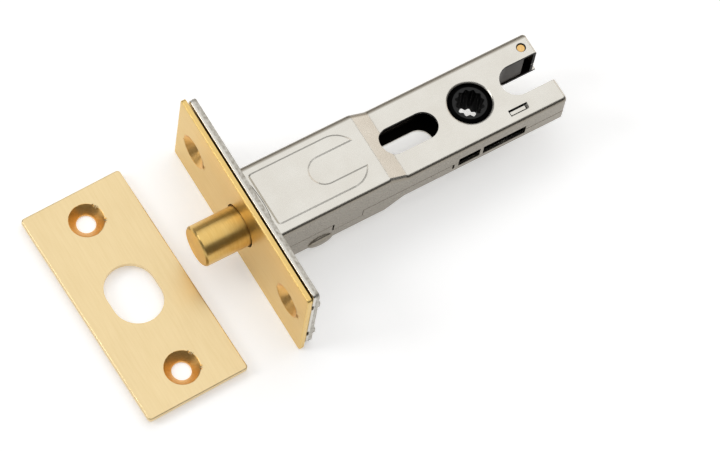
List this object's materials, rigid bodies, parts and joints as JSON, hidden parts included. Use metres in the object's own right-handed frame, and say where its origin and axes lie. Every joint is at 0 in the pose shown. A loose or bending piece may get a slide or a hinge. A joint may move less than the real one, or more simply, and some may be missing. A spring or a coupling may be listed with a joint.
{
  "type": "privacy bolt",
  "caption": "Tubular privacy bolt for a bathroom door: round brass bolt and forend, pressed steel case, square-spindle follower and separate strike plate.",
  "frame": {"origin": "middle of the brass cover's front face, on the bolt's axis and midway between the two forend screws", "axes": "+X from the door's edge into the door along the bolt, Y along the forend's long side, +Z square to the case's broad faces, along the spindle"},
  "size_m": [0.1222, 0.0579, 0.026],
  "materials": {
    "satin_brass": "satin, brushed lengthways",
    "polished_brass": "polished",
    "nickel_plated_steel": "nickel plated",
    "plated_case_steel": "satin zinc plated",
    "dark_steel": "plain, lightly oiled",
    "spring_steel": "bright",
    "black_nylon": "moulded, low sheen"
  },
  "bodies": {
    "case": {"forend_cover": "satin_brass", "forend_plate": "nickel_plated_steel", "upper_case_shell": "plated_case_steel", "lower_case_shell": "plated_case_steel", "bolt_guide": "black_nylon", "notch_liner": "dark_steel", "rear_pin": "polished_brass", "detent_spring": "spring_steel", "strike_plate": "satin_brass"},
    "bolt": {"bolt": "polished_brass", "bolt_tail": "dark_steel", "tail_rivets": "dark_steel"},
    "follower": {"follower": "black_nylon"}
  },
  "joints": [
    {"name": "bolt_slide", "type": "slide", "parent": "case", "child": "bolt", "axis": [1, 0, 0], "range_m": [0, 0.011]},
    {"name": "follower_turn", "type": "hinge", "parent": "case", "child": "follower", "pos_m": [0.0605, 0, 0], "axis": [0, 0, 1], "range_deg": [0, 90]}
  ],
  "couplings": [
    {"joint": "follower_turn", "follows": "bolt_slide", "rad_per_m": 142.79}
  ]
}
